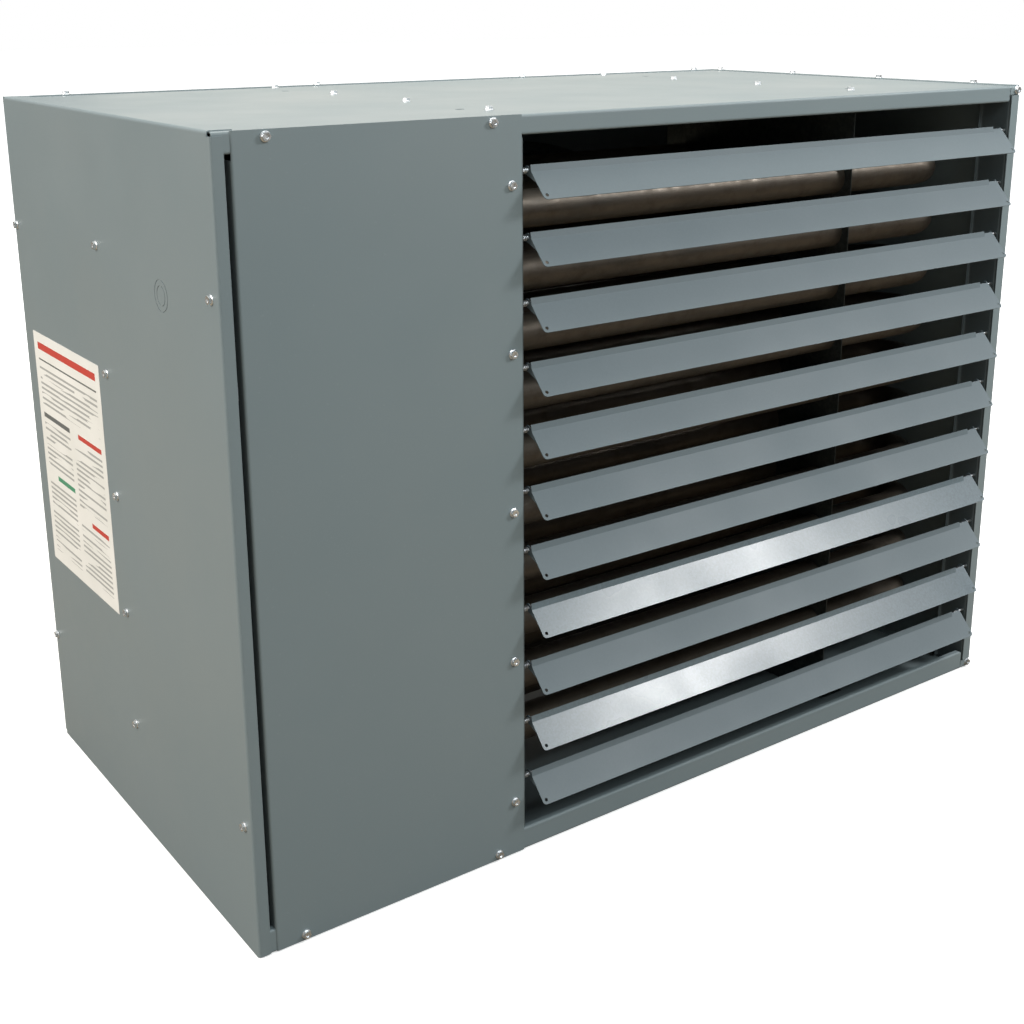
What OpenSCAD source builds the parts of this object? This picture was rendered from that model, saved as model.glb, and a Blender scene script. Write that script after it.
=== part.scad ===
// Gas unit heater: a sheet steel cabinet with a control compartment on the left, a tubular heat
// exchanger behind eleven hand-set louvre blades, and a propeller fan at the back.
// Millimetres, +Z up, front towards -Y, origin at the centre of the base.

/* [Cabinet] */
// Width of the cabinet
cabinet_w = 1215; // [1190:5:1260]
// Depth of the cabinet
cabinet_d = 626; // [610:2:680]
// Height of the cabinet
cabinet_h = 889; // [885:1:930]
// Thickness of the sheet steel
sheet_t = 1.2; // [1:0.1:1.5]
// Outside radius of the sheet bends
bend_r = 3; // [2:0.5:4]
// Left side to the partition that closes the control compartment
controls_w = 355.5; // [350:0.5:365]
// Width of the post at the right of the louvres
post_w = 17.5; // [15:0.5:20]
// Height of the header over the louvres
header_h = 23; // [20:1:26]
// Height of the rail under the louvres
sill_h = 29; // [25:1:33]

/* [Louvres] */
// Number of louvre blades
louver_count = 11; // [9:1:11]
// Height of the lowest louvre pivot
louver_first_z = 96.6; // [90:0.2:110]
// Top of the cabinet down to the highest louvre pivot
louver_top_drop = 62; // [58:0.5:75]
// Width of a blade face, from its bend to its lower edge
blade_chord = 37; // [30:0.5:42]
// Slope of a blade face below the horizontal, as set in the photograph
blade_tilt = 47; // [35:1:55]
// Width of the blade's upper lip
blade_lip = 7.5; // [5:0.5:9]
// Thickness of a blade
blade_t = 0.9; // [0.7:0.1:1.1]
// Diameter of a louvre pin
pin_d = 4; // [3:0.1:4.4]

/* [Heat exchanger] */
// Number of heat exchanger tubes, each with its burner
tube_count = 10; // [7:1:10]
// Outside diameter of a tube
tube_d = 45; // [38:0.5:48]
// Wall of a tube
tube_wall = 1.4; // [1:0.1:2]
// Distance between the passes of a tube
pass_pitch = 100; // [90:1:104]
// Height of the lowest tube
tube_first_z = 115; // [105:1:125]
// Top of the cabinet down to the highest tube
tube_top_drop = 117; // [112:1:130]

/* [Fan] */
// Diameter of the fan
fan_d = 610; // [540:5:620]
// Number of fan blades
fan_blade_count = 4; // [3:1:5]
// Pitch angle of the fan blades
fan_pitch = 24; // [18:1:28]
// Gap between the fan and the venturi ring
fan_tip_gap = 13; // [8:1:16]

/* [Connections] */
// Outside diameter of the vent collar and the combustion air collar
collar_d = 152.4; // [126:0.1:156]
// How far both collars stand out behind the cabinet
collar_out = 60; // [45:1:75]
// Outside diameter of the gas pipe
gas_pipe_d = 26.7; // [21.3:0.1:28]
// Clearance hole for a hanger rod
hanger_hole_d = 11; // [10:0.5:12]

/* [Hidden] */

// Fineness of curves
round_fn = 64;
fine_fn = 32;
bend_steps = 4;

// Clearances: between sheet edges, round a running shaft, round a fixed pin or screw
seam = 0.6;
run_fit = 0.05;
fixed_fit = 0.15;
cut_over = 2;

// Cabinet places, counted from the front left bottom corner
plate_top = cabinet_h - sheet_t;
rear_face = cabinet_d - sheet_t;
partition_x = controls_w;
air_x = partition_x + sheet_t;
rail_x = cabinet_w - post_w;

// Side panels
side_flange_w = 14;
side_top_flange_w = 26;
post_top_flange_w = 17;
corner_relief = 5.5;
base_chamfer = 8;
knockout_y = 144.7;
knockout_drop = 177.7;
knockout_z = cabinet_h - knockout_drop;
knockout_r = 17.4;
knockout_inner_r = 11;
knockout_line = 0.9;
knockout_depth = 0.5;
knockout_tab_w = 5;

// Access panel
door_gap = 6.6;
door_edge = 1;
door_return = 14;
door_left = side_flange_w + door_gap;
door_right = partition_x - door_edge / 2;

// Turned hems, lips and flanges
hem_w = 8;
rear_lip = 20;
header_gap = 4;
header_slit = 1;
header_tongue = 13;
header_corner_r = 4;
post_notch = 14;
partition_front_w = 26;
partition_top_w = 22;
rear_top_flange = 15;
service_seam_x = partition_x - hem_w;
header_end = rail_x - header_gap;

// Number 10 hex washer head screws
screw_r = 2.3;
screw_len = 11;
screw_tip = 2.5;
screw_washer_r = 5.4;
screw_washer_t = 1.1;
screw_hex_r = 4.6;
screw_head_h = 4;
screw_recess_r = 2.4;
screw_hole_r = screw_r + fixed_fit;
screw_reach = 7;

// Rows of screws
function row(count, first, last) = [for (i = [0:count - 1]) first + (last - first) * i / (count - 1)];
door_screw_in = 13.5;
door_screw_low = 71.5;
door_screw_drop = 75.5;
door_end_left = 57;
door_end_right_in = 37.5;
screw_edge = 8;
post_screw_in = 6;
post_screw_drop = 6.5;
side_front_y = 18;
side_end_low = 155;
side_end_drop = 161;
side_mid_back = 16;
side_mid_low = 142;
side_mid_drop = 149.4;
rear_in = 7;
top_front_in = 75;
top_rear_in = 26;
top_row_shares = [0, 1 / 3, 0.6762, 1];
top_partition_in = 9;
support_row_in = 265;
top_rear_left = 78;
top_rear_right_in = 51;
rear_seam_low = 90;
rear_seam_drop = 89;
rear_seam_step = 5.5;
door_screw_x = partition_x - door_screw_in;
door_screw_zs = row(5, door_screw_low, cabinet_h - door_screw_drop);
door_end_xs = [door_end_left, partition_x - door_end_right_in];
side_end_zs = [side_end_low, cabinet_h - side_end_drop];
side_mid_y = cabinet_d / 2 + side_mid_back;
side_mid_zs = row(5, side_mid_low, cabinet_h - side_mid_drop);
top_ys = [for (share = top_row_shares)
  top_front_in + (cabinet_d - top_rear_in - top_front_in) * share];
top_partition_x = partition_x + top_partition_in;
top_support_x = cabinet_w - support_row_in;
top_rear_xs = row(4, top_rear_left, cabinet_w - top_rear_right_in);
rear_seam_zs = [rear_seam_low, (rear_seam_low + cabinet_h - rear_seam_drop) / 2, cabinet_h - rear_seam_drop];

// Louvre blades: the pivot lies behind the bend line
louver_top_z = cabinet_h - louver_top_drop;
louver_pitch = (louver_top_z - louver_first_z) / (louver_count - 1);
louver_y = 8.6;
blade_left = air_x + 11.3;
blade_right = rail_x - 13;
bend_back = 7.8;
bend_drop = 0.6;
lip_angle = 78;
lip_stop = 21;
tab_rise = 5.5;
blade_corner_r = 4.5;
blade_hole_r = 2.1;
blade_hole_in = 5.5;
ear_r = 5.2;
ear_reach = 16;
rail_depth = 48;
rail_lip = 6;
rail_front = 2 * sheet_t;
rail_end_gap = 3;
post_rail_end = bend_r + 2 * sheet_t;
pin_r = pin_d / 2;
pin_into_blade = 7;
pin_head_r = 3;
pin_head_t = 1.6;
spring_wire_r = 0.55;
spring_turns = 3.5;
spring_rings = 8;
spring_sides = 6;
spring_gap = 0.3;
spring_r = pin_r + spring_wire_r + 2 * spring_gap;

// Heat exchanger
tube_r = tube_d / 2;
pass_count = 4;
pass_first_y = 92;
pass_last_y = pass_first_y + (pass_count - 1) * pass_pitch;
tube_stub = 8;
return_right_in = 110;
return_left_in = 90.5;
return_right_x = cabinet_w - return_right_in;
return_left_x = partition_x + return_left_in;
tube_top_z = cabinet_h - tube_top_drop;
row_pitch = (tube_top_z - tube_first_z) / (tube_count - 1);
sheet_fit = 0.3;

// Tube support plate
support_row_off = 8;
support_x = top_support_x - support_row_off;
support_flange = 45;
support_front_y = 58;
support_over = 40;
support_rear_y = pass_last_y + support_over;
hanger_in_y = 101;
hanger_off_partition = 12.5;
hanger_off_support = 33;
hanger_left_x = partition_x - hanger_off_partition;
hanger_right_x = support_x + hanger_off_support;
hanger_rail_w = 34;
hanger_rail_drop = 40;
hanger_rail_in_y = 66;
nut_across = 17;
nut_h = 8.4;
nut_bore_r = 4.1;

// Inner frame angles
corner_leg = 20;
corner_front_y = 8;
stiffener_w = 28;
stiffener_h = 16;
stiffener_end = 60;

// Flue collector and inducer
collector_w = 80;
collector_d = 80;
collector_under = 45;
collector_over = 43;
collector_base_z = tube_first_z - collector_under;
collector_top_z = tube_top_z + collector_over;
collector_lip = 12;
inducer_drop = 459;
inducer_z = cabinet_h - inducer_drop;
inducer_w = 92;
inducer_wall = 1.5;
scroll_r0 = 82;
scroll_growth = 26;
scroll_steps = 24;
inlet_r = 45;
outlet_h = 84;
outlet_reach = 108;
wheel_r = 70;
wheel_w = 70;
wheel_gap = 6;
wheel_plate_t = 1.5;
wheel_ring_w = 12;
wheel_vanes = 16;
wheel_vane_t = 1.2;
wheel_hub_r = 12;
inducer_shaft_r = 4;
inducer_motor_r = 44;
inducer_motor_len = 88;
inducer_boss_r = 10;
inducer_plate_t = 3;
collector_left_x = partition_x - collector_w;
inducer_right_x = collector_left_x;
inducer_left_x = inducer_right_x - inducer_w;
outlet_z = inducer_z + scroll_r0 + scroll_growth - outlet_h / 2;
outlet_y = pass_last_y + outlet_reach;

// Collars
collar_wall = 1;
collar_lip = 14;
collar_hole_gap = 6;
vent_plate = 3;
intake_x = 175;
intake_drop = 174;
intake_z = cabinet_h - intake_drop;

// Burners and gas train
burner_len = 116;
burner_gap = 14;
burner_inlet_r = 14;
burner_throat_r = 8.5;
burner_body_r = 12.5;
burner_head_r = 16.5;
burner_wall = 1.5;
burner_right_x = partition_x - tube_stub - burner_gap;
burner_left_x = burner_right_x - burner_len;
burner_hold_share = 0.72;
burner_hold_x = burner_left_x + burner_len * burner_hold_share;
bracket_half = 34;
bracket_lip = 12;
bracket_over = 36;
manifold_arm_w = 40;
manifold_arm_foot = 18;
manifold_arm_shares = [2.5 / 9, 6.5 / 9];
manifold_gap = 42;
manifold_x = burner_left_x - manifold_gap;
manifold_bore_r = 10.5;
manifold_over = 22;
boss_r = 9;
boss_len = 4;
orifice_hex_r = 7;
orifice_hex_len = 9;
orifice_len = 20;
orifice_tip_r = 3;
orifice_bore_r = 1;
valve_w = 68;
valve_d = 96;
valve_h = 58;
valve_base_z = 33;
valve_boss_r = 19;
valve_boss_len = 7;
valve_tower_r = 9;
valve_tower_h = 16;
valve_head_r = 15;
valve_head_h = 26;
valve_front_y = pass_first_y - valve_d / 2;
valve_z = valve_base_z + valve_h / 2;
valve_top_z = valve_base_z + valve_h;
knob_r = 14;
knob_h = 16;
knob_stem_r = 4;
knob_stem = 12;
knob_rib_w = 5;
knob_rib_h = 5;
knob_gap = 0.5;
pipe_wall = 2.9;
pipe_out = 40;
pipe_hole_gap = 3;
union_r = 22;
union_len = 34;
union_in = 8;
union_y = cabinet_d - union_len - union_in;

// Igniter and flame sensor
rod_r = 1.6;
rod_len = 46;
ceramic_r = 4.5;
ceramic_len = 26;
rod_clip_w = 14;
rod_clip_t = 1.2;
rod_in_y = 25;

// Controls on the partition
board_y = 190;
board_drop = 269;
board_z = cabinet_h - board_drop;
board_w = 130;
board_h = 100;
board_t = 1.6;
board_post_h = 10;
board_post_r = 3.5;
relay_size = [18, 15, 20];
terminal_h = 11;
chip_h = 3;
core_w = 72;
core_h = 60;
core_t = 36;
coil_over = 10;
coil_edge = 11;
transformer_foot = 14;
transformer_y = 180;
transformer_z = 150;
box_w = 60;
box_d = 92;
box_h = 92;
box_lip = 4;
box_lip_t = 1.5;
switch_r = 34;
switch_t = 12;
switch_hub_r = 15;
switch_hub_t = 14;
port_r = 3.2;
port_len = 14;
pressure_y = 215;
pressure_under = 30;
pressure_z = inducer_z - pressure_under;
foot_t = 2;
limit_y = 230;
limit_drop = 109;
limit_z = cabinet_h - limit_drop;
limit_w = 34;
limit_h = 20;
limit_r = 8.5;
limit_body_h = 12;
limit_probe_r = 6;
limit_probe_len = 14;
blade_tab_t = 0.8;
blade_tab_w = 6.3;
blade_tab_h = 9;
rollout_in = 26;
rollout_row = 5;
rollout_x = partition_x - rollout_in;
rollout_z = tube_first_z + rollout_row * row_pitch;
button_r = 3;
button_travel = 2;
button_len = 9;
button_cap_r = 4;
button_cap_h = 3;

// Fan, motor and guard
fan_x = (air_x + cabinet_w - sheet_t) / 2;
fan_z = cabinet_h / 2;
fan_in = 35;
fan_y = cabinet_d - fan_in;
fan_r = fan_d / 2;
fan_hub_r = 38;
fan_hub_len = 34;
fan_root_share = 0.2;
fan_root_half = 55;
fan_tip_half = 118;
fan_blade_t = 1.6;
fan_camber_r = 330;
fan_arm_w = 44;
fan_arm_t = 4;
shaft_r = 7.94;
shaft_in = 10;
venturi_r = fan_r + fan_tip_gap;
venturi_len = 52;
venturi_lip = 26;
venturi_bend = 12;
motor_reach = 64;
motor_r = 82;
motor_len = 140;
motor_boss_r = 26;
motor_boss_len = 12;
motor_step = 14;
motor_fins = 20;
motor_fin_w = 4;
motor_fin_h = 5;
strap_t = 3;
strap_w = 36;
strap_over = 20;
strap_foot = 30;
strap_rise = 50;
wire_r = 2;
wire_touch = 0.1;
guard_in_r = 95;
guard_over = 32;
guard_slope_w = 88;
guard_out_r = venturi_r + guard_over;
guard_flat_r = guard_out_r - guard_slope_w;
strap_half = guard_out_r + strap_over;
guard_depth = 46;
guard_spokes = 12;
guard_rings = 5;
wire_sides = 8;

// Label
label_y = 356;
label_z = 279;
label_w = 239;
label_h = 315;
label_t = 0.3;

blade_names = [for (i = [1:louver_count]) str("louver_blade_", i)];

// Colours
grey_paint = [0.42, 0.47, 0.49];
blade_paint = [0.50, 0.56, 0.59];
zinc = [0.78, 0.79, 0.80];
galvanised = [0.66, 0.68, 0.69];
hot_steel = [0.40, 0.32, 0.26];
dark_steel = [0.20, 0.21, 0.22];
brass_yellow = [0.75, 0.62, 0.33];
pipe_black = [0.14, 0.14, 0.15];
cast_aluminium = [0.70, 0.71, 0.72];
label_white = [0.93, 0.93, 0.92];
board_green = [0.13, 0.36, 0.24];
ceramic_white = [0.90, 0.88, 0.83];
plastic_black = [0.10, 0.10, 0.11];
plastic_red = [0.70, 0.10, 0.08];

// Bent sheet: the points follow one face of the sheet, which lies to the left of the way they go
function unit(v) = v / norm(v);
function left_of(v) = [-v[1], v[0]];
function cross2(u, v) = u[0] * v[1] - u[1] * v[0];
function short_turn(a) = a > 180 ? a - 360 : a < -180 ? a + 360 : a;
function bend_arc(at, back, on, r) =
  let(
    half = acos(back * on) / 2,
    centre = at + unit(back + on) * r / sin(half),
    first = at + back * r / tan(half) - centre,
    last = at + on * r / tan(half) - centre,
    a0 = atan2(first[1], first[0]),
    turn = short_turn(atan2(last[1], last[0]) - a0)
  )
  [for (i = [0:bend_steps]) centre + r * [cos(a0 + turn * i / bend_steps), sin(a0 + turn * i / bend_steps)]];
function mitre(a, b, c, shift) =
  let(n = left_of(unit(b - a)), m = left_of(unit(c - b))) b + shift * (n + m) / (1 + n * m);
function sheet_face(path, shift, r, t) = [
  for (i = [0:len(path) - 1])
    each i == 0 ? [path[0] + shift * left_of(unit(path[1] - path[0]))]
      : i == len(path) - 1 ? [path[i] + shift * left_of(unit(path[i] - path[i - 1]))]
      : let(
          a = path[i - 1], b = path[i], c = path[i + 1],
          outer = (cross2(b - a, c - b) > 0) == (shift == 0)
        )
        bend_arc(mitre(a, b, c, shift), unit(a - b), unit(c - b), outer ? r : r - t)
];
function reversed(list) = [for (i = [len(list) - 1:-1:0]) list[i]];
module bent_sheet(path, t = sheet_t, r = bend_r) {
  polygon(concat(sheet_face(path, 0, r, t), reversed(sheet_face(path, t, r, t))));
}

// Sections swept along one axis
module along_x(from, to) {
  translate([from, 0, 0]) rotate([90, 0, 90]) linear_extrude(height = to - from) children();
}
module along_y(from, to) {
  translate([0, to, 0]) rotate([90, 0, 0]) linear_extrude(height = to - from) children();
}
module along_z(from, to) {
  translate([0, 0, from]) linear_extrude(height = to - from) children();
}
module block(from, to) {
  translate(from) cube(to - from);
}

module ring_section(r, wall) {
  difference() {
    circle(r = r, $fn = round_fn);
    circle(r = r - wall, $fn = round_fn);
  }
}
module pipe(r, wall, h) {
  difference() {
    cylinder(r = r, h = h, $fn = round_fn);
    translate([0, 0, -cut_over]) cylinder(r = r - wall, h = h + 2 * cut_over, $fn = round_fn);
  }
}

// The cabinet frame starts at the front left bottom corner
module in_cabinet() {
  translate([-cabinet_w / 2, -cabinet_d / 2, 0]) children();
}
// Local +Z points out of the face named, at places given as pairs
module on_front(at, y = 0) {
  for (p = at) translate([p[0], y, p[1]]) rotate([90, 0, 0]) children();
}
module on_left(at, x = 0) {
  for (p = at) translate([x, p[0], p[1]]) rotate([0, -90, 0]) children();
}
module on_right(at, x = cabinet_w) {
  for (p = at) translate([x, p[0], p[1]]) rotate([0, 90, 0]) children();
}
module on_top(at, z = cabinet_h) {
  for (p = at) translate([p[0], p[1], z]) children();
}
module on_rear(at, y = cabinet_d) {
  for (p = at) translate([p[0], y, p[1]]) rotate([-90, 0, 0]) children();
}

// Places of the cabinet screws
door_places = concat(
  [for (z = door_screw_zs) [door_screw_x, z]],
  [for (x = door_end_xs, z = [screw_edge, cabinet_h - screw_edge]) [x, z]]
);
post_places = [for (z = [screw_edge, cabinet_h - post_screw_drop]) [cabinet_w - post_screw_in, z]];
left_places = concat(
  [for (y = [side_front_y, cabinet_d - rear_in], z = side_end_zs) [y, z]],
  [for (z = side_mid_zs) [side_mid_y, z]]
);
right_places = [for (z = concat(side_end_zs, [cabinet_h / 2])) [cabinet_d - rear_in, z]];
top_flange_places = concat(
  [for (y = top_ys) [cabinet_w - rear_in, y]],
  [for (x = top_rear_xs) [x, cabinet_d - rear_in]]
);
top_plate_places = [for (x = [top_partition_x, top_support_x], y = top_ys) [x, y]];
rear_places = [for (x = [service_seam_x - rear_seam_step, service_seam_x + rear_seam_step],
  z = rear_seam_zs) [x, z]];
hanger_places = [for (x = [hanger_left_x, hanger_right_x], y = [hanger_in_y, cabinet_d - hanger_in_y]) [x, y]];

module hex_screw() {
  difference() {
    union() {
      rotate_extrude($fn = fine_fn) polygon([
        [0, -screw_len], [screw_r, screw_tip - screw_len], [screw_r, 0], [screw_washer_r, 0],
        [screw_washer_r, screw_washer_t / 2], [screw_hex_r, screw_washer_t], [0, screw_washer_t]
      ]);
      cylinder(r = screw_hex_r, h = screw_head_h, $fn = 6);
    }
    translate([0, 0, screw_head_h - screw_washer_t])
      cylinder(r = screw_recess_r, h = screw_head_h, $fn = fine_fn);
  }
}
module screw_hole() {
  cylinder(r = screw_hole_r, h = 2 * screw_reach, center = true, $fn = fine_fn);
}

// Cabinet

module left_side_panel() {
  color(grey_paint) in_cabinet() difference() {
    union() {
      along_z(sheet_t, cabinet_h - corner_relief)
        bent_sheet([[0, cabinet_d], [0, 0], [side_flange_w, 0]]);
      along_y(corner_relief, rear_face - seam) bent_sheet([
        [side_top_flange_w, cabinet_h], [0, cabinet_h], [0, sheet_t], [side_top_flange_w, sheet_t]
      ]);
      block([0, rear_face - seam - cut_over, cabinet_h - 2 * corner_relief],
        [sheet_t, cabinet_d, cabinet_h]);
    }
    on_left(left_places) screw_hole();
    on_left([[knockout_y, knockout_z]]) knockout_lines();
    translate([0, cabinet_d, sheet_t]) rotate([45, 0, 0])
      cube([2 * screw_reach, base_chamfer, base_chamfer], center = true);
  }
}
module knockout_lines() {
  difference() {
    translate([0, 0, -knockout_depth]) {
      pipe(knockout_r, knockout_line, 2 * knockout_depth);
      pipe(knockout_inner_r, knockout_line, 2 * knockout_depth);
    }
    cube([2 * knockout_r + cut_over, knockout_tab_w, 2 * knockout_depth], center = true);
  }
}

module right_side_panel() {
  color(grey_paint) in_cabinet() difference() {
    union() {
      along_z(sheet_t, cabinet_h) bent_sheet([
        [rail_x, 0], [cabinet_w, 0], [cabinet_w, cabinet_d]
      ]);
      along_y(corner_relief, rear_face - seam) bent_sheet([
        [cabinet_w - post_top_flange_w, sheet_t], [cabinet_w, sheet_t],
        [cabinet_w, cabinet_h], [cabinet_w - post_top_flange_w, cabinet_h]
      ]);
    }
    // The front flange and its bend stop short of both ends, where the post screws are
    for (z = [0, cabinet_h - post_notch])
      block([rail_x - cut_over, -cut_over, z], [cabinet_w + cut_over, bend_r, z + post_notch]);
    on_right(right_places) screw_hole();
    on_top(top_flange_places) screw_hole();
  }
}

module top_panel() {
  color(grey_paint) in_cabinet() difference() {
    along_x(bend_r, cabinet_w - bend_r) bent_sheet([
      [rear_face, plate_top - rear_lip], [rear_face, plate_top], [sheet_t, plate_top],
      [sheet_t, cabinet_h - header_h], [sheet_t + hem_w, cabinet_h - header_h]
    ]);
    // The header stops short of the post; past a slit, a tongue runs on behind the notch of the post
    block([header_end, 0, 0], [cabinet_w, hem_w + 2 * sheet_t, cabinet_h - header_tongue]);
    block([header_end, 0, 0], [header_end + header_slit, bend_r, plate_top - bend_r]);
    header_corner(cabinet_h - header_h, 1);
    on_front(door_places) screw_hole();
    on_front(post_places) screw_hole();
    on_top(concat(top_flange_places, top_plate_places)) screw_hole();
    on_top(hanger_places) hanger_hole();
  }
}
// Rounds the end of the header or the sill, whose free edge is at the height given
module header_corner(z, up) {
  r = header_corner_r;
  translate([header_end - r, -cut_over, z + up * r]) mirror([0, 0, up > 0 ? 0 : 1]) difference() {
    translate([0, 0, -2 * r]) cube([2 * r, bend_r + hem_w + 2 * cut_over, 2 * r]);
    rotate([-90, 0, 0]) cylinder(r = r, h = bend_r + hem_w + 3 * cut_over, $fn = fine_fn);
  }
}
module hanger_hole() {
  cylinder(r = hanger_hole_d / 2, h = 2 * screw_reach, center = true, $fn = round_fn);
}

module bottom_panel() {
  color(grey_paint) in_cabinet() difference() {
    union() {
      along_x(0, cabinet_w) bent_sheet([
        [sheet_t, sheet_t + bend_r], [sheet_t, 0], [rear_face, 0], [rear_face, sheet_t + bend_r]
      ]);
      along_x(sheet_t + seam, cabinet_w - sheet_t - seam) bent_sheet([
        [sheet_t + hem_w, sill_h], [sheet_t, sill_h], [sheet_t, 0],
        [rear_face, 0], [rear_face, rear_lip]
      ]);
    }
    for (x = [0, cabinet_w - bend_r])
      block([x, 0, sheet_t], [x + bend_r, cabinet_d, sill_h]);
    // The rear lip stops short of the side flanges
    for (x = [[0, side_top_flange_w + seam], [cabinet_w - post_top_flange_w - seam, cabinet_w]])
      block([x[0], rear_face - sheet_t - bend_r, sheet_t], [x[1], cabinet_d, rear_lip + cut_over]);
    block([header_end, 0, header_tongue], [cabinet_w, hem_w + 2 * sheet_t, sill_h + cut_over]);
    block([header_end, 0, bend_r], [header_end + header_slit, bend_r, sill_h]);
    header_corner(sill_h, -1);
    on_front(door_places) screw_hole();
    on_front(post_places) screw_hole();
  }
}

module access_panel() {
  color(grey_paint) in_cabinet() difference() {
    along_z(door_edge, cabinet_h - door_edge) bent_sheet([
      [door_left, door_return], [door_left, 0], [door_right, 0]
    ]);
    for (z = [0, cabinet_h - sill_h])
      block([door_left, sheet_t, z], [door_left + sheet_t + bend_r, door_return + cut_over, z + sill_h]);
    on_front(door_places) screw_hole();
  }
}

module rear_panel() {
  left = service_seam_x + seam / 2;
  right = cabinet_w - sheet_t;
  color(grey_paint) in_cabinet() difference() {
    union() {
      along_z(2 * sheet_t + rear_lip, plate_top - rear_lip) bent_sheet([
        [right, cabinet_d - rear_lip], [right, cabinet_d], [left, cabinet_d]
      ]);
      along_x(left, cabinet_w - post_top_flange_w - seam) bent_sheet([
        [cabinet_d, 0], [cabinet_d, cabinet_h], [cabinet_d - rear_top_flange, cabinet_h]
      ]);
      block([left, rear_face, 0], [right, cabinet_d, plate_top - seam]);
    }
    on_rear([[fan_x, fan_z]])
      cylinder(r = venturi_r + venturi_bend, h = 2 * screw_reach, center = true, $fn = round_fn);
    on_right(right_places) screw_hole();
    on_rear(rear_places) screw_hole();
    on_top(top_flange_places) screw_hole();
  }
}

module rear_service_panel() {
  left = sheet_t;
  right = service_seam_x - seam / 2;
  color(grey_paint) in_cabinet() difference() {
    union() {
      along_z(2 * sheet_t + rear_lip, plate_top - rear_lip) bent_sheet([
        [right, cabinet_d], [left, cabinet_d], [left, cabinet_d - rear_lip]
      ], r = bend_r);
      along_x(side_top_flange_w + seam, right) bent_sheet([
        [cabinet_d, 0], [cabinet_d, cabinet_h], [cabinet_d - rear_top_flange, cabinet_h]
      ]);
      block([left, rear_face, 0], [right, cabinet_d, plate_top - seam]);
    }
    on_left(left_places) screw_hole();
    on_rear(rear_places) screw_hole();
    on_top(top_flange_places) screw_hole();
    // Both collars cover their holes with their flanges
    on_rear([[intake_x, intake_z], [inducer_mid_x(), outlet_z]])
      cylinder(r = collar_d / 2 + collar_hole_gap, h = 2 * screw_reach, center = true, $fn = round_fn);
    on_rear([[manifold_x, valve_z]])
      cylinder(r = gas_pipe_d / 2 + pipe_hole_gap, h = 2 * screw_reach, center = true, $fn = fine_fn);
  }
}
function inducer_mid_x() = inducer_right_x - inducer_w / 2;

// Inner frame

module partition_panel() {
  color(galvanised) in_cabinet() difference() {
    union() {
      along_z(sill_h + seam, cabinet_h - header_h - seam) bent_sheet([
        [partition_x - partition_front_w, sheet_t], [air_x, sheet_t],
        [air_x, rear_face], [partition_x - rear_lip, rear_face]
      ]);
      along_y(2 * sheet_t + hem_w, rear_face - bend_r) bent_sheet([
        [partition_x + partition_top_w, plate_top - sheet_t], [partition_x, plate_top - sheet_t],
        [partition_x, sheet_t], [partition_x + partition_top_w, sheet_t]
      ]);
    }
    on_front(door_places) screw_hole();
    on_rear(rear_places) screw_hole();
    on_top(top_plate_places) screw_hole();
    on_left(louver_places(), partition_x) pin_hole();
    for (y = [pass_first_y, pass_last_y])
      on_left([for (z = tube_zs()) [y, z]], partition_x)
        cylinder(r = tube_r + fixed_fit, h = 2 * screw_reach, center = true, $fn = round_fn);
    on_left([[limit_y, limit_z]], partition_x)
      cylinder(r = limit_probe_r + fixed_fit, h = 2 * screw_reach, center = true, $fn = fine_fn);
  }
}
function louver_places() = [for (i = [0:louver_count - 1]) [louver_y, louver_first_z + i * louver_pitch]];
function tube_zs() = [for (i = [0:tube_count - 1]) tube_first_z + i * row_pitch];
module pin_hole() {
  cylinder(r = pin_r + run_fit, h = 2 * screw_reach, center = true, $fn = fine_fn);
}

module corner_angle() {
  color(galvanised) in_cabinet() difference() {
    along_z(sill_h + seam, cabinet_h - header_h - seam) bent_sheet([
      [sheet_t + corner_leg, corner_front_y + corner_leg],
      [sheet_t, corner_front_y + corner_leg], [sheet_t, corner_front_y]
    ]);
    on_left(left_places) screw_hole();
  }
}

module side_stiffener() {
  half = stiffener_w / 2;
  color(galvanised) in_cabinet() difference() {
    along_z(stiffener_end, cabinet_h - stiffener_end) bent_sheet([
      [sheet_t + stiffener_h, side_mid_y + half], [sheet_t, side_mid_y + half],
      [sheet_t, side_mid_y - half], [sheet_t + stiffener_h, side_mid_y - half]
    ]);
    on_left(left_places) screw_hole();
  }
}

module hanger_rail() {
  color(galvanised) in_cabinet() difference() {
    along_y(hanger_rail_in_y, cabinet_d - hanger_rail_in_y) bent_sheet([
      [partition_x, plate_top - sheet_t - hanger_rail_drop], [partition_x, plate_top - sheet_t],
      [partition_x - hanger_rail_w, plate_top - sheet_t]
    ]);
    on_top(hanger_places) hanger_hole();
  }
}

module hanger_nuts() {
  under = plate_top - 2 * sheet_t;
  color(zinc) in_cabinet() for (p = hanger_places) translate([p[0], p[1], under - nut_h]) difference() {
    cylinder(d = nut_across / cos(30), h = nut_h, $fn = 6);
    translate([0, 0, -cut_over]) cylinder(r = nut_bore_r, h = nut_h + 2 * cut_over, $fn = fine_fn);
  }
}

module louver_rail_left() {
  color(galvanised) in_cabinet() difference() {
    along_z(sill_h + rail_end_gap, cabinet_h - header_h - rail_end_gap) bent_sheet([
      [air_x + rail_lip, rail_depth], [air_x, rail_depth], [air_x, rail_front]
    ]);
    on_left(louver_places(), air_x) pin_hole();
  }
}

module louver_rail_right() {
  color(galvanised) in_cabinet() difference() {
    along_z(post_rail_end, cabinet_h - post_rail_end) bent_sheet([
      [rail_x - rail_lip, rail_depth], [rail_x, rail_depth], [rail_x, rail_front],
      [cabinet_w - 2 * sheet_t, rail_front]
    ]);
    on_right(louver_places(), rail_x) pin_hole();
    on_front(post_places) screw_hole();
  }
}

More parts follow.
